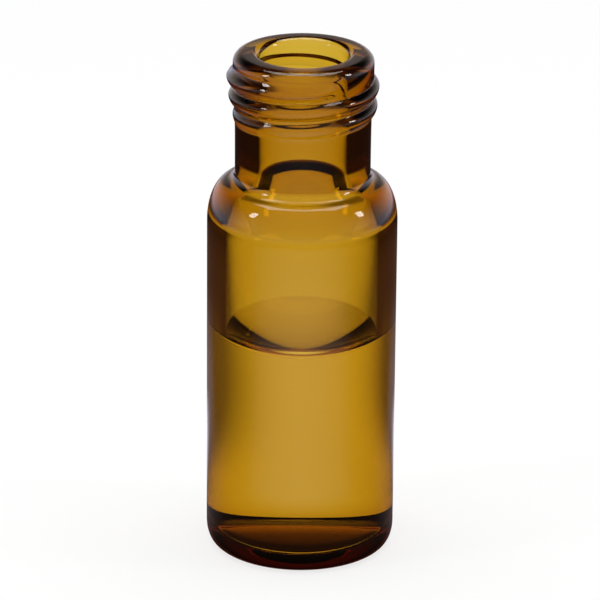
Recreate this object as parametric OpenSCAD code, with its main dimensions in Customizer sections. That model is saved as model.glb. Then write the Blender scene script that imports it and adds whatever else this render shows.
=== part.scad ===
// Screw-neck glass sample vial, part filled with a clear liquid.
// The origin is the centre of the foot, on the surface that it stands on, and +Z points out of the mouth.

/* [Body] */
// Outside diameter of the straight body
body_d = 11.7; // [11.4:0.1:15]
// Height from the foot to the top of the lip
vial_h = 32; // [28:0.5:50]
// Thickness of the body wall
wall_t = 1.15; // [0.8:0.05:1.3]

/* [Base] */
// Thickness of the glass between the foot and the floor, where the floor meets its corner
base_t = 0.8; // [0.7:0.1:2]
// Outer diameter of the flat ring that the vial stands on
foot_d = 10.5; // [9:0.1:11]
// Width of the flat ring
foot_w = 0.6; // [0.3:0.1:1]
// Height of the rounded corner between the foot and the wall
base_corner_h = 1.25; // [0.8:0.05:2.5]
// Radius of the rounded corner inside the base
floor_corner_r = 1.1; // [0.6:0.1:2.4]
// How far the middle of the base is pushed up, inside and out
base_push = 0.3; // [0.1:0.05:0.8]

/* [Shoulder] */
// Distance from the top of the lip down to where the outside of the body starts to round in
body_top_drop = 10.75; // [9.6:0.05:12]
// Height of the ellipse that the outside of the shoulder follows
shoulder_h = 2.54; // [2:0.02:3.2]
// Width of that ellipse, from the wall in to its middle
shoulder_w = 1.25; // [1:0.05:1.3]
// How far round the ellipse the shoulder goes before it curves up into the neck, in degrees
shoulder_turn = 86; // [75:1:88]
// How far below the outside's turn the inside of the wall starts to round in
inner_turn_drop = 0; // [0:0.05:0.5]
// Radius of that rounded corner inside
inner_corner_r = 0.6; // [0.4:0.1:1]
// Slope of the inside of the shoulder, in degrees from the upright
throat_slope = 39; // [34:1:44]
// Radius of the curve that leads from the slope into the bore
throat_r = 3.2; // [2:0.1:3.6]

/* [Neck] */
// Outside diameter of the neck where it leaves the shoulder
neck_d = 8.3; // [7.9:0.05:8.5]
// How late the neck widens on its way up to the lip: 1 is a plain cone, more keeps it straight for longer
neck_flare = 3.5; // [1:0.5:6]
// Diameter of the bore through the neck
bore_d = 5.5; // [5:0.1:5.8]

/* [Lip] */
// Outside diameter of the lip
lip_d = 8.6; // [8.5:0.05:9]
// Height of the straight side of the lip, below its rounded edge
lip_side_h = 0.9; // [0.5:0.1:1.4]
// Radius of the outer edge of the lip
lip_outer_r = 0.6; // [0.3:0.05:0.7]
// Radius of the inner edge of the lip
lip_inner_r = 0.43; // [0.2:0.01:0.6]

/* [Screw thread] */
// Distance between neighbouring turns
thread_pitch = 1.2; // [1.1:0.05:1.4]
// Gap between the feet of neighbouring turns
thread_gap = 0.04; // [0.04:0.02:0.4]
// Height of the ridge's upper flank, above its middle; the lower flank takes the rest of the pitch
thread_upper_h = 0.48; // [0.4:0.02:0.7]
// How far the crest stands out from the neck
thread_h = 0.4; // [0.3:0.01:0.6]
// Number of turns, with both fading ends
thread_turns = 2.8; // [1.5:0.1:3]
// Distance from the top of the lip down to the middle of the thread's upper end
thread_drop = 1.07; // [1.05:0.01:1.6]
// Angle at which the thread starts, seen from above, with 0 along +X
thread_start_angle = 304; // [0:1:359]
// Turns over which the upper end rises out of the neck
thread_lead_in = 0.08; // [0.04:0.02:0.3]
// Turns over which the lower end fades into the neck
thread_run_out = 0.9; // [0.3:0.05:1]
// Share of its height that the crest loses with each turn down
thread_fade = 0.1; // [0:0.01:0.25]

/* [Liquid] */
// Height of the line where the liquid meets the wall
fill_h = 14.5; // [6:0.1:15.5]
// How far the middle of the liquid's surface lies below that line
meniscus_depth = 1.35; // [0.4:0.05:2]

/* [Hidden] */
$fn = 96;

// Radii
body_r = body_d / 2;
inner_r = body_r - wall_t;
foot_r = foot_d / 2;
foot_inner_r = foot_r - foot_w;
floor_flat_r = inner_r - floor_corner_r;
neck_r = neck_d / 2;
bore_r = bore_d / 2;
lip_r = lip_d / 2;

// Heights, from the foot up
shoulder_z = vial_h - body_top_drop;
lip_side_z = vial_h - lip_outer_r - lip_side_h;

// The outside of the shoulder is part of an ellipse, which ends with a slope of shoulder_up to shoulder_out.
// The fillet up to the neck starts with the same slope: that gives its radius and its height.
shoulder_out = shoulder_h * cos(shoulder_turn);
shoulder_up = shoulder_w * sin(shoulder_turn);
shoulder_steep = norm([shoulder_out, shoulder_up]);
shoulder_end_r = body_r - shoulder_w * (1 - cos(shoulder_turn));
neck_fillet_r = (shoulder_end_r - neck_r) / (1 - shoulder_out / shoulder_steep);
fillet_start = 180 + atan2(shoulder_up, shoulder_out);
neck_foot_z = shoulder_z + shoulder_h * sin(shoulder_turn) + neck_fillet_r * shoulder_up / shoulder_steep;

// The inside of the shoulder is a rounded corner, a cone and a wide curve into the bore
inner_corner_z = shoulder_z - inner_turn_drop;
cone_w = inner_r - bore_r - (inner_corner_r + throat_r) * (1 - cos(throat_slope));
throat_z = inner_corner_z + (inner_corner_r + throat_r) * sin(throat_slope) + cone_w / tan(throat_slope);

// The liquid's surface is a cosh curve: nearly flat in the middle, and steep where the liquid wets the wall.
// This is the length over which it rises.
capillary_l = 1.8;

// Steps in a large curve of the profile, in a small one, and up the side of the neck
curve_steps = 10;
edge_steps = 6;
neck_steps = 6;

// The thread's ridge: sections in a turn, steps across the crest, depth of its root in the neck's wall,
// how full the crest is (1 is a plain cosine, less is fuller), and how deep its two ends sink
turn_steps = 40;
crest_steps = 8;
thread_lower_h = thread_pitch - thread_gap - thread_upper_h;
root_depth = 0.3;
crest_power = 0.2;
end_sink = 0.06;

// Points of a quarter ellipse about (r, z), from angle a to angle b
function arc(r, z, size_r, size_z, a, b, steps) =
    [for (i = [0:steps]) let (t = a + (b - a) * i / steps) [r + size_r * cos(t), z + size_z * sin(t)]];

// Points of a shallow dome, from the axis out to radius r at height z, its height falling as a square
function dome(r, z) =
    [for (i = [0:curve_steps - 1]) let (s = i / curve_steps) [r * s, z + base_push * (1 - s * s)]];

function reversed(pts) = [for (i = [len(pts) - 1:-1:0]) pts[i]];

function cosh(x) = (exp(x) + exp(-x)) / 2;

// Outside radius of the neck at height z: it widens slowly above the shoulder and faster below the lip
function neck_radius(z) =
    let (share = min(1, max(0, (z - neck_foot_z) / (lip_side_z - neck_foot_z))))
    neck_r + (lip_r - neck_r) * pow(share, neck_flare);

// Side of the neck, from the first step above the fillet to the straight side of the lip
function neck_pts() =
    [for (i = [1:neck_steps]) let (z = neck_foot_z + (lip_side_z - neck_foot_z) * i / neck_steps)
        [neck_radius(z), z]];

// Outside of the glass, from the middle of the underside to the top of the lip
function outside_pts() = concat(
    dome(foot_inner_r, 0),
    [[foot_inner_r, 0]],
    arc(foot_r, base_corner_h, body_r - foot_r, base_corner_h, -90, 0, curve_steps),
    arc(body_r - shoulder_w, shoulder_z, shoulder_w, shoulder_h, 0, shoulder_turn, curve_steps),
    fillet_pts(),
    neck_pts(),
    arc(lip_r - lip_outer_r, vial_h - lip_outer_r, lip_outer_r, lip_outer_r, 0, 90, edge_steps)
);

// Fillet from the shoulder up to the neck, without its first point, which ends the shoulder
function fillet_pts() =
    [for (i = [1:edge_steps]) let (t = fillet_start + (180 - fillet_start) * i / edge_steps)
        [neck_r + neck_fillet_r * (1 + cos(t)), neck_foot_z + neck_fillet_r * sin(t)]];

// Inside of the base, from the axis to the straight wall, shared with the liquid
function floor_pts() = concat(
    dome(floor_flat_r, base_t),
    arc(floor_flat_r, base_t + floor_corner_r, floor_corner_r, floor_corner_r, -90, 0, curve_steps)
);

// Inside of the glass, from the shoulder to the top of the lip
function inside_pts() = concat(
    arc(
        inner_r - inner_corner_r, inner_corner_z, inner_corner_r, inner_corner_r, 0, throat_slope, edge_steps
    ),
    arc(bore_r + throat_r, throat_z, throat_r, throat_r, 180 + throat_slope, 180, curve_steps),
    arc(bore_r + lip_inner_r, vial_h - lip_inner_r, lip_inner_r, lip_inner_r, 180, 90, edge_steps)
);

// Height of the liquid's surface at radius r, as a share of the meniscus's depth above its lowest point
function climb(r) = (cosh(r / capillary_l) - 1) / (cosh(inner_r / capillary_l) - 1);

// The liquid's surface, from the wall in to the axis
function surface_pts() =
    [for (i = [0:curve_steps]) let (r = inner_r * (1 - i / curve_steps))
        [r, fill_h - meniscus_depth * (1 - climb(r))]];

// Share of the full crest height, at s turns below the thread's upper end
function crest_share(s) =
    (1 - thread_fade * s) * max(0, min(1, s / thread_lead_in, (thread_turns - s) / thread_run_out));

// Share of the crest's height across the ridge, with u from -1 at its lower foot to 1 at its upper foot
function crest_form(u) = pow((1 + cos(180 * u)) / 2, crest_power);

// Height of that point above the ridge's middle
function crest_z(u) = u * (u > 0 ? thread_upper_h : thread_lower_h);

// Closed section of the ridge at s turns below its upper end: two points deep in the wall, then the crest
function ridge_section(s) =
    let (
        angle = thread_start_angle - 360 * s,
        middle_z = vial_h - thread_drop - thread_pitch * s,
        height = (thread_h + end_sink) * crest_share(s) - end_sink + root_depth,
        root_r = (bore_r + neck_r) / 2,
        crest = [for (i = [0:crest_steps])
            let (u = sin(180 * i / crest_steps - 90), z = middle_z + crest_z(u))
            [neck_radius(z) - root_depth + height * crest_form(u), z]],
        root = [for (z = [crest[crest_steps][1], crest[0][1]]) [root_r, z]]
    )
    [for (p = concat(root, crest)) [p[0] * cos(angle), p[0] * sin(angle), p[1]]];

// The thread is one helical ridge, right-handed, that winds down from below the lip and fades into the neck
module thread_ridge() {
    sections = round(turn_steps * thread_turns);
    ring = crest_steps + 3;
    points = [for (k = [0:sections]) each ridge_section(thread_turns * k / sections)];
    sides = [for (k = [0:sections - 1], i = [0:ring - 1])
        let (a = k * ring + i, b = k * ring + (i + 1) % ring)
        each [[a, b + ring, b], [a, a + ring, b + ring]]];
    upper_end = [for (i = [0:ring - 1]) i];
    lower_end = [for (i = [ring - 1:-1:0]) sections * ring + i];
    polyhedron(points = points, faces = concat(sides, [upper_end, lower_end]), convexity = 6);
}

module glass_vial() {
    color("#c48a2c", 0.75)
    union() {
        rotate_extrude()
            polygon(concat(outside_pts(), reversed(inside_pts()), reversed(floor_pts())));
        thread_ridge();
    }
}

module sample_liquid() {
    color("#e0a848", 0.6)
    rotate_extrude()
        polygon(concat(floor_pts(), surface_pts()));
}

glass_vial();
sample_liquid();
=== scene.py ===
import math

import bpy
import numpy as np
from mathutils import Matrix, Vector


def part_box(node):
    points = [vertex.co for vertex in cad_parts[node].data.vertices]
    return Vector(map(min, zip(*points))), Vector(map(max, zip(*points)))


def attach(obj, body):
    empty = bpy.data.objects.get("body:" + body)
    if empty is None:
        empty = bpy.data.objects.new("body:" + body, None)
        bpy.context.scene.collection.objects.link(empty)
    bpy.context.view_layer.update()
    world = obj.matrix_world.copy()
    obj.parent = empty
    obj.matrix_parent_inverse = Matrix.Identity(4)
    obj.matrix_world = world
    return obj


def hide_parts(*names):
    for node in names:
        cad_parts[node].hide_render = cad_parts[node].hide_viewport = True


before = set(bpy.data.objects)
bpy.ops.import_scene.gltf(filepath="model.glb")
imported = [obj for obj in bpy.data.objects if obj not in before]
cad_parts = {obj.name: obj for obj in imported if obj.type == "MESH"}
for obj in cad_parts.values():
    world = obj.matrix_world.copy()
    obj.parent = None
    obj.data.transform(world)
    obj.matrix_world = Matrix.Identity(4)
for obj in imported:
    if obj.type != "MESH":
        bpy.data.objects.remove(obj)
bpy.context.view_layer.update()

# --------------------------------------------------------------------------------------------------------
# Amber glass vial. One piece of drawn amber tubing: the base is closed in the flame, and the shoulder, neck,
# screw thread and lip are formed by rollers while the glass is soft, which rounds every edge.
# Lengths in this file are in millimetres until a mesh or an object is made, and MM turns them into metres.
# --------------------------------------------------------------------------------------------------------
MM = 0.001

vial_low, vial_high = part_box("glass_vial")
body_r = (vial_high.x - vial_low.x) / 2 / MM
vial_h = vial_high.z / MM
wall_t = 1.15
inner_r = body_r - wall_t
fill_h = 14.5

# The base: a foot ring round a shallow push-up outside, and a domed floor with a round corner inside.
base_t = 0.66
base_push = 0.3
base_corner_h = 1.25
foot_r = 5.25
foot_inner_r = 4.65
floor_corner_r = 1.1
floor_flat_r = inner_r - floor_corner_r
floor_wall_z = base_t + floor_corner_r

# The neck, which widens a little towards the lip, and the lip.
neck_r = 4.155
neck_flare = 3.5
bore_r = 2.7
lip_r = 4.3
lip_outer_r = 0.6
lip_inner_r = 0.43
lip_band_h = 0.9
lip_edge_r = lip_r - lip_outer_r
lip_edge_z = vial_h - lip_outer_r
lip_side_z = lip_edge_z - lip_band_h
mouth_r = bore_r + lip_inner_r
mouth_z = vial_h - lip_inner_r

# The outside of the shoulder: part of an ellipse, then an arc that leads it into the neck without a corner.
shoulder_z = 21.25
shoulder_h = 2.54
shoulder_w = 1.25
shoulder_turn = 86.0
shoulder_end = math.radians(shoulder_turn)
shoulder_out = shoulder_h * math.cos(shoulder_end)
shoulder_up = shoulder_w * math.sin(shoulder_end)
shoulder_steep = math.hypot(shoulder_out, shoulder_up)
shoulder_end_r = body_r - shoulder_w * (1 - math.cos(shoulder_end))
shoulder_end_z = shoulder_z + shoulder_h * math.sin(shoulder_end)
neck_fillet_r = (shoulder_end_r - neck_r) / (1 - shoulder_out / shoulder_steep)
neck_foot_z = shoulder_end_z + neck_fillet_r * shoulder_up / shoulder_steep
fillet_start = math.degrees(math.atan2(shoulder_up, shoulder_out)) + 180

# The inside of the shoulder: a small corner, a cone of throat_slope degrees from upright, and a round throat.
inner_corner_z = 21.25
inner_corner_r = 0.6
throat_slope = 39.0
throat_r = 3.2
slope = math.radians(throat_slope)
cone_w = inner_r - bore_r - (inner_corner_r + throat_r) * (1 - math.cos(slope))
throat_z = inner_corner_z + (inner_corner_r + throat_r) * math.sin(slope) + cone_w / math.tan(slope)

# The screw thread. The last four values shape the ridge and set how softly it grows out of the neck.
thread_pitch = 1.2
thread_turns = 2.8
thread_rise = 0.55
thread_fall = 0.8
thread_h = 0.4
thread_drop = 1.07
thread_start_angle = 304.0
thread_lead_in = 0.08
thread_run_out = 0.9
thread_fade = 0.1
thread_root = 0.3
thread_sink = 0.06
thread_crest_power = 0.33
thread_blend = 0.035


def arc(r, z, size_r, size_z, start, end, steps):
    """Points (r + size_r cos t, z + size_z sin t) of an ellipse about (r, z), t from start to end degrees."""
    t = np.radians(np.linspace(start, end, steps + 1))
    return np.stack([r + size_r * np.cos(t), z + size_z * np.sin(t)], axis=1)


def straight(start, end, steps):
    """Points from start to end, closer together towards both ends: a share (1 - cos t) / 2 of the way."""
    share = (1 - np.cos(np.linspace(0, math.pi, steps + 1))) / 2
    return np.outer(1 - share, start) + np.outer(share, end)


def dome(r, z, steps):
    """Points of a shallow dome, from the axis out to radius r at height z, its height falling as a square."""
    share = np.linspace(0, 1, steps + 1)
    return np.stack([r * share, z + base_push * (1 - share**2)], axis=1)


def floor_points():
    """The inside of the base, from the axis out to the straight wall: a dome and a quarter circle."""
    corner = arc(floor_flat_r, floor_wall_z, floor_corner_r, floor_corner_r, start=-90, end=0, steps=24)
    return np.concatenate([dome(floor_flat_r, base_t, steps=16), corner[1:]])


def throat_points():
    """The inside of the shoulder, from the bore down to the wall: an arc, a cone and an arc, in one flow."""
    flare_end = 180 + throat_slope
    flare = arc(bore_r + throat_r, throat_z, throat_r, throat_r, start=180, end=flare_end, steps=24)
    corner_mid = inner_r - inner_corner_r
    corner = arc(corner_mid, inner_corner_z, inner_corner_r, inner_corner_r, throat_slope, end=0, steps=24)
    return np.concatenate([flare, straight(flare[-1], corner[0], steps=8)[1:-1], corner])


def revolve(name, profile, columns, swell=None):
    """Turns a profile, which starts and ends on the axis, about Z into a closed mesh: x is r cos a and y is
    r sin a. swell(angle, z, row) is added to the radius."""
    angle = np.linspace(0, 2 * math.pi, columns, endpoint=False)
    rows = len(profile) - 2
    r = np.repeat(profile[1:-1, 0:1], columns, axis=1)
    z = np.repeat(profile[1:-1, 1:2], columns, axis=1)
    if swell is not None:
        r = r + swell(angle[None, :], z, np.arange(1, rows + 1)[:, None])
    rings = np.stack([r * np.cos(angle), r * np.sin(angle), z], axis=2).reshape(-1, 3)
    poles = np.array([[0, 0, profile[0, 1]], [0, 0, profile[-1, 1]]])
    points = np.concatenate([rings, poles]) * MM

    here = np.arange(columns)
    there = (here + 1) % columns
    ring = np.arange(rows - 1)[:, None] * columns
    quads = np.stack([ring + here, ring + there, ring + columns + there, ring + columns + here], axis=2)
    first, last = rows * columns, rows * columns + 1
    top = (rows - 1) * columns
    start_fan = np.stack([np.full(columns, first), there, here], axis=1)
    end_fan = np.stack([np.full(columns, last), top + here, top + there], axis=1)

    loops = np.concatenate([quads.reshape(-1), start_fan.reshape(-1), end_fan.reshape(-1)])
    sides = np.concatenate([np.full(quads.shape[0] * columns, 4), np.full(2 * columns, 3)])
    mesh = bpy.data.meshes.new(name)
    mesh.vertices.add(len(points))
    mesh.vertices.foreach_set("co", points.reshape(-1))
    mesh.loops.add(len(loops))
    mesh.loops.foreach_set("vertex_index", loops)
    mesh.polygons.add(len(sides))
    mesh.polygons.foreach_set("loop_start", np.concatenate([[0], np.cumsum(sides)[:-1]]))
    mesh.polygons.foreach_set("use_smooth", np.ones(len(sides), bool))
    mesh.update(calc_edges=True)
    mesh.validate()
    piece = bpy.data.objects.new(name, mesh)
    bpy.context.scene.collection.objects.link(piece)
    return piece


neck_points = straight([neck_r, neck_foot_z], [lip_r, lip_side_z], steps=150)
neck_share = (neck_points[:, 1] - neck_foot_z) / (lip_side_z - neck_foot_z)
neck_points[:, 0] = neck_r + (lip_r - neck_r) * neck_share**neck_flare
fillet_mid = neck_r + neck_fillet_r
outside = np.concatenate([
    dome(foot_inner_r, 0, steps=16),
    straight([foot_inner_r, 0], [foot_r, 0], steps=4)[1:],
    arc(foot_r, base_corner_h, body_r - foot_r, base_corner_h, start=-90, end=0, steps=24)[1:],
    straight([body_r, base_corner_h], [body_r, shoulder_z], steps=8)[1:],
    arc(body_r - shoulder_w, shoulder_z, shoulder_w, shoulder_h, 0, end=shoulder_turn, steps=36)[1:],
    arc(fillet_mid, neck_foot_z, neck_fillet_r, neck_fillet_r, fillet_start, end=180, steps=16)[1:],
    neck_points[1:],
    straight([lip_r, lip_side_z], [lip_r, lip_edge_z], steps=6)[1:],
    arc(lip_edge_r, lip_edge_z, lip_outer_r, lip_outer_r, start=0, end=90, steps=16)[1:],
])
inside = np.concatenate([
    straight([lip_edge_r, vial_h], [mouth_r, vial_h], steps=2)[1:],
    arc(mouth_r, mouth_z, lip_inner_r, lip_inner_r, start=90, end=180, steps=12)[1:],
    straight([bore_r, mouth_z], [bore_r, throat_z], steps=6)[1:],
    throat_points()[1:],
    straight([inner_r, inner_corner_z], [inner_r, fill_h], steps=4)[1:],
    straight([inner_r, fill_h], [inner_r, floor_wall_z], steps=6)[1:],
    floor_points()[-2::-1],
])


def thread_ridge(angle, z, row):
    """How far the thread stands out from the neck. Its middle falls by the pitch with each turn, and across
    it the height is ((1 + cos u) / 2) to a power, set back into the wall. That height, m, is blended with
    the wall as (m + sqrt(m^2 + blend^2)) / 2, less what this gives beside the ridge. Only the outside of
    the neck takes it."""
    out = np.zeros_like(z + angle)
    for turn in range(math.ceil(thread_turns) + 1):
        s = (math.radians(thread_start_angle) - angle) / (2 * math.pi) + turn
        middle = vial_h - thread_drop - thread_pitch * s
        u = np.clip(np.where(z > middle, (z - middle) / thread_rise, (z - middle) / thread_fall), -1, 1)
        ends = np.clip(np.minimum(s / thread_lead_in, (thread_turns - s) / thread_run_out), 0, 1)
        height = (thread_h + thread_sink) * (1 - thread_fade * s) * ends - thread_sink + thread_root
        form = ((1 + np.cos(math.pi * u)) / 2) ** thread_crest_power
        ridge = height * form - thread_root
        lift = (ridge + np.sqrt(ridge**2 + thread_blend**2)) / 2
        lift = lift - (-thread_root + math.hypot(thread_root, thread_blend)) / 2
        out = np.maximum(out, np.where((s >= 0) & (s <= thread_turns), lift, 0))
    return np.where(row < len(outside) - 1, out, 0) * (z > neck_foot_z)


columns = 240
glass = revolve("amber_glass_vial", np.concatenate([outside, inside]), columns, thread_ridge)


def linear(hex_colour):
    """A hex sRGB colour as the linear RGBA that Blender's nodes take."""
    c = np.array([int(hex_colour[i:i + 2], 16) for i in (1, 3, 5)]) / 255
    c = np.where(c <= 0.04045, c / 12.92, ((c + 0.055) / 1.055) ** 2.4)
    return (*c, 1.0)


def add_node(tree, kind, settings=None, links=None):
    """Adds one node. Settings are its attributes or its inputs' values, and links are the sockets that feed
    its inputs, where a node stands for its first output."""
    node = tree.nodes.new(kind)
    for name, value in (settings or {}).items():
        if isinstance(name, int) or name in node.inputs:
            node.inputs[name].default_value = value
        else:
            setattr(node, name, value)
    for name, source in (links or {}).items():
        socket = source.outputs[0] if isinstance(source, bpy.types.Node) else source
        tree.links.new(socket, node.inputs[name])
    return node


def new_material(name):
    """An empty node material and its node tree."""
    material = bpy.data.materials.new(name)
    material.use_nodes = True
    material.node_tree.nodes.clear()
    return material, material.node_tree


# Amber borosilicate glass, drawn as a tube. Blue fades in it over half a millimetre, green over two and red
# over four, so thin walls look honey yellow and the long way through the base is a dark red brown. Drawing
# leaves upright streaks, which make its reflections waver: streak_strength of streak_depth shows, which is
# two micrometres.
no_colour = linear("#ffffff")
glass_colour = "#f1e142"
glass_density = 2050.0
glass_ior = 1.475
liquid_ior = 1.333
streaks_per_mm = 0.7
streak_stretch = 25.0
streak_depth = 0.1
streak_strength = 0.02
material, tree = new_material("drawn_amber_glass")
coords = add_node(tree, "ShaderNodeTexCoord").outputs["Object"]
upright = add_node(tree, "ShaderNodeMapping", {"Scale": (1.0, 1.0, 1 / streak_stretch)}, {"Vector": coords})
streaks = add_node(tree, "ShaderNodeTexNoise", {"Scale": streaks_per_mm / MM, "Detail": 1.0}, {0: upright})
relief = add_node(
    tree, "ShaderNodeBump", {"Strength": streak_strength, "Distance": streak_depth * MM}, {"Height": streaks}
)
against_air = add_node(
    tree,
    "ShaderNodeBsdfPrincipled",
    {"Base Color": no_colour, "Roughness": 0.0, "IOR": glass_ior, "Transmission Weight": 1.0},
    {"Normal": relief},
)
against_liquid = add_node(
    tree,
    "ShaderNodeBsdfPrincipled",
    {"Base Color": no_colour, "Roughness": 0.0, "IOR": glass_ior / liquid_ior, "Transmission Weight": 1.0},
    {"Normal": relief},
)

# Where the glass holds the liquid, its face bends light by the ratio of the two indexes. That face is told
# by its place: inside the wall, above the base and under the level.
wet_margin = 0.01
wet_r = inner_r + wet_margin
wet_low = base_t - wet_margin
place = add_node(tree, "ShaderNodeSeparateXYZ", None, {0: coords})
up = place.outputs["Z"]
flat = add_node(tree, "ShaderNodeCombineXYZ", None, {"X": place.outputs["X"], "Y": place.outputs["Y"]})
out = add_node(tree, "ShaderNodeVectorMath", {"operation": "LENGTH"}, {0: flat}).outputs["Value"]
inside_wall = add_node(tree, "ShaderNodeMath", {"operation": "LESS_THAN", 1: wet_r * MM}, {0: out})
above_base = add_node(tree, "ShaderNodeMath", {"operation": "GREATER_THAN", 1: wet_low * MM}, {0: up})
under_level = add_node(tree, "ShaderNodeMath", {"operation": "LESS_THAN", 1: fill_h * MM}, {0: up})
wet = add_node(tree, "ShaderNodeMath", {"operation": "MULTIPLY"}, {0: inside_wall, 1: under_level})
wet = add_node(tree, "ShaderNodeMath", {"operation": "MULTIPLY"}, {0: wet, 1: above_base})
surface = add_node(tree, "ShaderNodeMixShader", None, {0: wet, 1: against_air, 2: against_liquid})
absorption = add_node(
    tree, "ShaderNodeVolumeAbsorption", {"Color": linear(glass_colour), "Density": glass_density}
)
add_node(tree, "ShaderNodeOutputMaterial", None, {"Surface": surface, "Volume": absorption})
glass.data.materials.append(material)

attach(glass, "root")
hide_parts("glass_vial")

# --------------------------------------------------------------------------------------------------------
# Sample liquid. A clear, watery liquid that fills the vial to just under half its height. It wets the glass,
# so its surface climbs at the wall. It reaches a hair into the glass, so that no film of air lies between.
# --------------------------------------------------------------------------------------------------------
meniscus_depth = 1.35
capillary_length = 1.8
wetting_depth = 0.02
wet_corner_share = 0.7
surface_margin = 0.5
skin_r = inner_r + wetting_depth


def surface_points():
    """The liquid's surface, from the wall in to the axis: its height follows cosh(r / capillary length)."""
    r = straight([skin_r, 0], [0, 0], steps=40)[:, 0]
    climb = (np.cosh(r / capillary_length) - 1) / (math.cosh(inner_r / capillary_length) - 1)
    return np.stack([r, fill_h - meniscus_depth * (1 - climb)], axis=1)


def grown(points):
    """The floor's points, moved down by the wetting depth at the bottom and not at all at the wall. On the
    round corner they also move out, by the whole depth at the wall and a share of it at the bottom."""
    share = np.clip(points[:, 0] / floor_flat_r, 0, 1)
    down = np.clip((floor_wall_z - points[:, 1]) / floor_corner_r, 0, 1)
    corner_out = wetting_depth * (1 - down) + wetting_depth * wet_corner_share * down
    out = np.where(points[:, 0] > floor_flat_r, corner_out, 0)
    return np.stack([points[:, 0] + out * share, points[:, 1] - wetting_depth * down], axis=1)


def sort_faces(piece, second):
    """Gives the faces whose middle (r, z), in millimetres, passes second(r, z) the second material."""
    middles = np.empty(3 * len(piece.data.polygons))
    piece.data.polygons.foreach_get("center", middles)
    x, y, z = middles.reshape(-1, 3).T / MM
    piece.data.polygons.foreach_set("material_index", second(np.hypot(x, y), z).astype(np.int32))


liquid_side = straight([skin_r, floor_wall_z], [skin_r, fill_h], steps=20)
liquid_profile = np.concatenate([grown(floor_points()), liquid_side[1:], surface_points()[1:]])
liquid = revolve("sample_liquid_fill", liquid_profile, columns)

# A watery solvent, poured in and left to stand: it has the faintest straw tint, and its surface is smooth
# but for ripples of under a micrometre, which make the light in it waver.
straw_colour = "#f6f3e6"
straw_density = 8.0
ripple_w = 1.6
ripple_h = 0.0008
material, tree = new_material("clear_sample_liquid")
coords = add_node(tree, "ShaderNodeTexCoord").outputs["Object"]
ripples = add_node(
    tree, "ShaderNodeTexNoise", {"Scale": 1 / (ripple_w * MM), "Detail": 1.0}, {"Vector": coords}
)
relief = add_node(tree, "ShaderNodeBump", {"Distance": ripple_h * MM}, {"Height": ripples})
open_surface = add_node(
    tree,
    "ShaderNodeBsdfPrincipled",
    {"Base Color": no_colour, "Roughness": 0.0, "IOR": liquid_ior, "Transmission Weight": 1.0},
    {"Normal": relief},
)
straw = add_node(
    tree, "ShaderNodeVolumeAbsorption", {"Color": linear(straw_colour), "Density": straw_density}
)
add_node(tree, "ShaderNodeOutputMaterial", None, {"Surface": open_surface, "Volume": straw})
liquid.data.materials.append(material)

# Where it touches the glass, the glass's own face bends the light, so this side of it leaves light as it is.
touching = material.copy()
touching.name = "liquid_against_glass"
touching.node_tree.nodes[open_surface.name].inputs["IOR"].default_value = 1.0
liquid.data.materials.append(touching)
surface_low = fill_h - meniscus_depth - surface_margin
sort_faces(liquid, lambda r, z: (r > inner_r) | (z < surface_low))
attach(liquid, "root")
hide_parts("sample_liquid")

# --------------------------------------------------------------------------------------------------------
# Studio floor. A sheet of matt white paper. The camera sees it plain white, and so do rays that come
# through the glass, but for a painted shade: a darker strip on each side behind the vial, which only the
# glass shows. Rays that a surface has mirrored see another floor instead: painted reflections, glowing
# patches placed round the vial that light nothing, and dark between them.
# --------------------------------------------------------------------------------------------------------
floor_size = 4000.0
floor_drop = 0.03
paper_colour = "#f3f3f3"
paper_glow = 0.75
smooth = {"interpolation_type": "SMOOTHSTEP"}
least = 0.1

# Painted shade, seen only through the glass: behind the vial, the paper that shows through the glass
# darkens to each side, from strip_start to strip_end times a width: strip_near, plus the cube of y over
# strip_spread. Its middle leans to the left by strip_slant times y. The dark fades out again where x goes
# from strip_wedge to strip_wedge_end times y.
strip_near = 5.6
strip_spread = 3200.0
strip_start = 0.2
strip_end = 1.2
strip_slant = 0.07
strip_wedge = 2.0
strip_wedge_end = 4.0
painted_side_shade_colour = "#4c4230"

# The painted reflection in front, a patch only mirrored rays see: a fan that fades to nothing where x is
# front_half times the way ahead.
front_strength = 0.65
front_half = 2.0
front_near = 14.0
front_from = 18.0
front_to = 45.0
front_end = 90.0
front_left = 0.1

# The painted reflection right behind the vial, a patch only mirrored rays see, which starts at its axis.
behind_strength = 1.3
behind_near = 18.0
behind_end = 28.0
behind_side = 0.3
behind_side_end = 1.2
behind_side_share = 0.05
behind_step = 2.0

# The painted reflection of a rim: a faint fan that opens backwards from a point rim_point in front of the
# axis.
rim_strength = 0.2
rim_start = 12.0
rim_full = 28.0
rim_end = 48.0
rim_point = 15.0
rim_point_w = 0.5
rim_side = 0.6
rim_side_end = 0.9

# The painted reflection of the paper far away, which is fainter in front.
far_strength = 1.0
far_start = 90.0
far_full = 180.0
far_front_share = 0.3
painted_reflection_cool_colour = "#e4e6ff"

# A faint warm painted reflection all round, a glow that only mirrored rays see.
round_strength = 0.1
round_near = 4.0
round_from = 9.0
round_to = 50.0
round_end = 66.0
round_left = 0.35
painted_reflection_warm_colour = "#ffccb4"


def what_rays_see(tree, lit, white, mirrored):
    """Light bounced off other things meets lit, a ray from the camera or through the glass meets white, and
    one that a surface has mirrored meets mirrored, the painted reflection. Returns the shader that picks
    among the three."""
    under_one = 0.5
    path = add_node(tree, "ShaderNodeLightPath")
    shown = path.outputs["Is Camera Ray"]
    for kind in ("Is Glossy Ray", "Is Transmission Ray"):
        shown = add_node(tree, "ShaderNodeMath", {"operation": "MAXIMUM"}, {0: shown, 1: path.outputs[kind]})
    plain = add_node(tree, "ShaderNodeMixShader", None, {0: shown, 1: lit, 2: white})
    times = path.outputs["Glossy Depth"]
    bounced = add_node(tree, "ShaderNodeMath", {"operation": "GREATER_THAN", 1: under_one}, {0: times})
    return add_node(tree, "ShaderNodeMixShader", None, {0: bounced, 1: plain, 2: mirrored})


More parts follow.
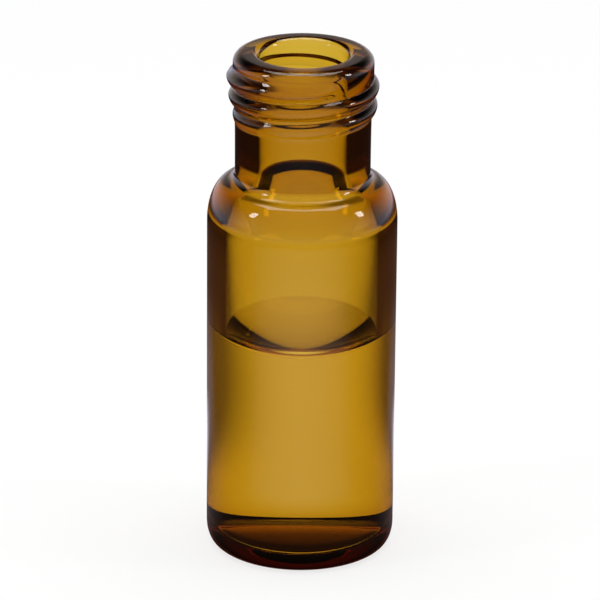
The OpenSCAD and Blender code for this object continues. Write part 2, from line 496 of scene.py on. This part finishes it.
floor_mesh = bpy.data.meshes.new("pale_floor")
half = floor_size / 2
corners = [(x * half * MM, y * half * MM, -floor_drop * MM) for x, y in ((-1, -1), (1, -1), (1, 1), (-1, 1))]
floor_mesh.from_pydata(corners, [], [(0, 1, 2, 3)])
floor = bpy.data.objects.new("pale_floor", floor_mesh)
bpy.context.scene.collection.objects.link(floor)

# How far each place is from the axis, in all and sideways, and its turn from straight back or ahead: x over
# y, without its sign.
material, tree = new_material("white_paper_painted_reflections_and_shade")
coords = add_node(tree, "ShaderNodeTexCoord").outputs["Object"]
place = add_node(tree, "ShaderNodeSeparateXYZ", None, {0: coords})
x, y = place.outputs["X"], place.outputs["Y"]
away = add_node(tree, "ShaderNodeVectorMath", {"operation": "LENGTH"}, {0: coords}).outputs["Value"]
across = add_node(tree, "ShaderNodeMath", {"operation": "ABSOLUTE"}, {0: x})
back = add_node(tree, "ShaderNodeMath", {"operation": "MAXIMUM", 1: least * MM}, {0: y})
ahead = add_node(tree, "ShaderNodeMath", {"operation": "MULTIPLY", 1: -1.0}, {0: y})
ahead = add_node(tree, "ShaderNodeMath", {"operation": "MAXIMUM", 1: least * MM}, {0: ahead})
past_point = add_node(tree, "ShaderNodeMath", {"operation": "ADD", 1: rim_point * MM}, {0: y})
past_point = add_node(tree, "ShaderNodeMath", {"operation": "MAXIMUM", 1: rim_point_w * MM}, {0: past_point})
turn_back = add_node(tree, "ShaderNodeMath", {"operation": "DIVIDE"}, {0: across, 1: back})
turn_ahead = add_node(tree, "ShaderNodeMath", {"operation": "DIVIDE"}, {0: across, 1: ahead})
turn_rim = add_node(tree, "ShaderNodeMath", {"operation": "DIVIDE"}, {0: across, 1: past_point})

# What the camera sees, and what shows through the glass, with its painted shade strips.
back_mm = add_node(tree, "ShaderNodeMath", {"operation": "MULTIPLY", 1: 1 / MM}, {0: y})
back_mm = add_node(tree, "ShaderNodeMath", {"operation": "MAXIMUM", 1: 0.0}, {0: back_mm})
cubed = add_node(tree, "ShaderNodeMath", {"operation": "POWER", 1: 3.0}, {0: back_mm})
strip_w = add_node(
    tree,
    "ShaderNodeMath",
    {"operation": "MULTIPLY_ADD", 1: MM / strip_spread, 2: strip_near * MM},
    {0: cubed},
)
aside = add_node(tree, "ShaderNodeMath", {"operation": "MULTIPLY_ADD", 1: strip_slant}, {0: y, 2: x})
aside = add_node(tree, "ShaderNodeMath", {"operation": "ABSOLUTE"}, {0: aside})
aside = add_node(tree, "ShaderNodeMath", {"operation": "DIVIDE"}, {0: aside, 1: strip_w})
aside = add_node(
    tree, "ShaderNodeMapRange", smooth | {"From Min": strip_start, "From Max": strip_end}, {"Value": aside}
)
wedge = add_node(
    tree,
    "ShaderNodeMapRange",
    smooth | {"From Min": strip_wedge, "From Max": strip_wedge_end, "To Min": 1.0, "To Max": 0.0},
    {"Value": turn_back},
)
aside = add_node(tree, "ShaderNodeMath", {"operation": "MULTIPLY"}, {0: aside, 1: wedge})
direct = add_node(tree, "ShaderNodeLightPath").outputs["Is Camera Ray"]
aside = add_node(tree, "ShaderNodeMath", {"operation": "SUBTRACT", "use_clamp": True}, {0: aside, 1: direct})
# The painted shade strips, mixed into the paper's glow.
through = add_node(
    tree, "ShaderNodeMix", {"data_type": "RGBA", 6: no_colour, 7: linear(painted_side_shade_colour)}, {0: aside}
).outputs[2]
lit = add_node(tree, "ShaderNodeBsdfDiffuse", {"Color": linear(paper_colour)})
glow = add_node(tree, "ShaderNodeEmission", None, {"Color": through})
white = add_node(tree, "ShaderNodeMixShader", {0: paper_glow}, {1: lit, 2: glow})

# The painted reflections, which only the glass mirrors and which light nothing. Each patch is the product
# of its fades: what it goes by, from where, to where, and its share at each of the two.
patches = {
    "front": [
        (turn_ahead, 0.0, front_half, front_strength, 0.0),
        (away, front_near * MM, front_from * MM, 0.0, 1.0),
        (away, front_to * MM, front_end * MM, 1.0, front_left),
    ],
    "rim": [
        (turn_rim, rim_side, rim_side_end, rim_strength, 0.0),
        (away, rim_start * MM, rim_full * MM, 0.0, 1.0),
        (away, rim_full * MM, rim_end * MM, 1.0, 0.0),
    ],
    "behind": [
        (turn_back, behind_side, behind_side_end, 1.0, behind_side_share),
        (y, -behind_step * MM, behind_step * MM, 0.0, behind_strength),
        (away, behind_near * MM, behind_end * MM, 1.0, 0.0),
    ],
    "far": [
        (away, far_start * MM, far_full * MM, 0.0, far_strength),
        (y, -far_start * MM, far_start * MM, far_front_share, 1.0),
    ],
    "round": [
        (away, round_near * MM, round_from * MM, 0.0, round_strength),
        (away, round_to * MM, round_end * MM, 1.0, round_left),
    ],
}
strength = {}
for name, fades in patches.items():
    for value, start, end, at_start, at_end in fades:
        fade = add_node(
            tree,
            "ShaderNodeMapRange",
            smooth | {"From Min": start, "From Max": end, "To Min": at_start, "To Max": at_end},
            {"Value": value},
        )
        if name in strength:
            fade = add_node(tree, "ShaderNodeMath", {"operation": "MULTIPLY"}, {0: strength[name], 1: fade})
        strength[name] = fade
# The cool and warm glow of the painted reflections.
cool = strength["front"]
for name in ("rim", "behind", "far"):
    cool = add_node(tree, "ShaderNodeMath", {"operation": "ADD"}, {0: cool, 1: strength[name]})
cool = add_node(tree, "ShaderNodeEmission", {"Color": linear(painted_reflection_cool_colour)}, {"Strength": cool})
warm = add_node(tree, "ShaderNodeEmission", {"Color": linear(painted_reflection_warm_colour)}, {"Strength": strength["round"]})
mirrored = add_node(tree, "ShaderNodeAddShader", None, {0: cool, 1: warm})
seen = what_rays_see(tree, lit, white, mirrored)
add_node(tree, "ShaderNodeOutputMaterial", None, {"Surface": seen})
floor_mesh.materials.append(material)

# --------------------------------------------------------------------------------------------------------
# Studio surround. The camera and rays through the glass see it white, and it lights the floor at half that.
# Rays that a surface has mirrored see a painted reflection instead, which lights nothing: bright near the
# floor and dark higher up, and in front one even, weaker glow.
# --------------------------------------------------------------------------------------------------------
surround_light = 0.5
# The painted sky reflection, seen only by mirrored rays.
painted_sky_reflection_colour = "#ffe9dc"
sky_low = 1.0
sky_high = 0.03
sky_top = 0.55
front_sky = 0.35
front_turn = -0.75
side_turn = -0.2

world = bpy.data.worlds.new("soft_surround_painted_sky")
world.use_nodes = True
bpy.context.scene.world = world
tree = world.node_tree
tree.nodes.clear()
lit = add_node(tree, "ShaderNodeBackground", {"Color": no_colour, "Strength": surround_light})
white = add_node(tree, "ShaderNodeBackground", {"Color": no_colour, "Strength": 1.0})
direction = add_node(tree, "ShaderNodeTexCoord").outputs["Generated"]
place = add_node(tree, "ShaderNodeSeparateXYZ", None, {0: direction})
flat = add_node(tree, "ShaderNodeCombineXYZ", None, {"X": place.outputs["X"], "Y": place.outputs["Y"]})
level = add_node(tree, "ShaderNodeVectorMath", {"operation": "LENGTH"}, {0: flat}).outputs["Value"]
turn = add_node(tree, "ShaderNodeMath", {"operation": "DIVIDE"}, {0: place.outputs["Y"], 1: level})
height = add_node(
    tree,
    "ShaderNodeMapRange",
    smooth | {"From Min": 0.0, "From Max": sky_top, "To Min": sky_low, "To Max": sky_high},
    {"Value": place.outputs["Z"]},
)
sky = add_node(
    tree,
    "ShaderNodeMapRange",
    smooth | {"From Min": front_turn, "From Max": side_turn, "To Min": front_sky},
    {"Value": turn, "To Max": height},
)
sky = add_node(tree, "ShaderNodeBackground", {"Color": linear(painted_sky_reflection_colour)}, {"Strength": sky})
seen = what_rays_see(tree, lit, white, sky)
add_node(tree, "ShaderNodeOutputWorld", None, {"Surface": seen})

# --------------------------------------------------------------------------------------------------------
# Softboxes. A small one on each side of the vial, and a wide one nearly overhead, which puts a white band
# round the foot of the neck.
# --------------------------------------------------------------------------------------------------------
box_distance = 300.0
side_box_w = 45.0
side_box_h = 75.0
side_radiance = 12.0
left_azimuth = -68.0
left_elevation = 30.0
right_azimuth = 81.0
right_elevation = 26.0
top_box_w = 320.0
top_box_d = 160.0
top_radiance = 4.0
top_azimuth = 180.0
top_elevation = 84.0


def softbox(name, azimuth, elevation, width, height, radiance):
    """A rectangular area light that faces the middle of the vial. Azimuth 0 is in front and 90 to the right.
    Its power is its radiance times pi times its area."""
    lamp = bpy.data.lights.new(name, "AREA")
    lamp.shape = "RECTANGLE"
    lamp.size = width * MM
    lamp.size_y = height * MM
    lamp.energy = radiance * math.pi * lamp.size * lamp.size_y
    light = bpy.data.objects.new(name, lamp)
    a, e = math.radians(azimuth), math.radians(elevation)
    towards = np.array([math.sin(a) * math.cos(e), -math.cos(a) * math.cos(e), math.sin(e)])
    light.location = towards * box_distance * MM + np.array([0, 0, vial_h / 2 * MM])
    light.rotation_euler = (math.radians(90) - e, 0, a)
    bpy.context.scene.collection.objects.link(light)


softbox("left_softbox", left_azimuth, left_elevation, side_box_w, side_box_h, side_radiance)
softbox("right_softbox", right_azimuth, right_elevation, side_box_w, side_box_h, side_radiance)
softbox("top_softbox", top_azimuth, top_elevation, top_box_w, top_box_d, top_radiance)

# --------------------------------------------------------------------------------------------------------
# Camera. It looks down on the vial through a long lens, and is turned a little about its own axis.
# --------------------------------------------------------------------------------------------------------
camera_elevation = math.radians(21.3)
camera_roll = math.radians(0.5)
camera_distance = 286.0
camera_aim = np.array([-0.096, 0.0, 15.9])
lens = 277.6
sensor_w = 36.0
clip_near = 10.0
clip_far = 10000.0
camera_data = bpy.data.cameras.new("camera")
camera_data.lens = lens
camera_data.sensor_width = sensor_w
camera_data.clip_start = clip_near * MM
camera_data.clip_end = clip_far * MM
camera = bpy.data.objects.new("camera", camera_data)
towards = np.array([0.0, -math.cos(camera_elevation), math.sin(camera_elevation)])
camera.matrix_world = (
    Matrix.Translation((camera_aim + towards * camera_distance) * MM)
    @ Matrix.Rotation(math.radians(90) - camera_elevation, 4, "X")
    @ Matrix.Rotation(camera_roll, 4, "Z")
)
bpy.context.scene.collection.objects.link(camera)
bpy.context.scene.camera = camera
bpy.context.scene.view_settings.view_transform = "Standard"
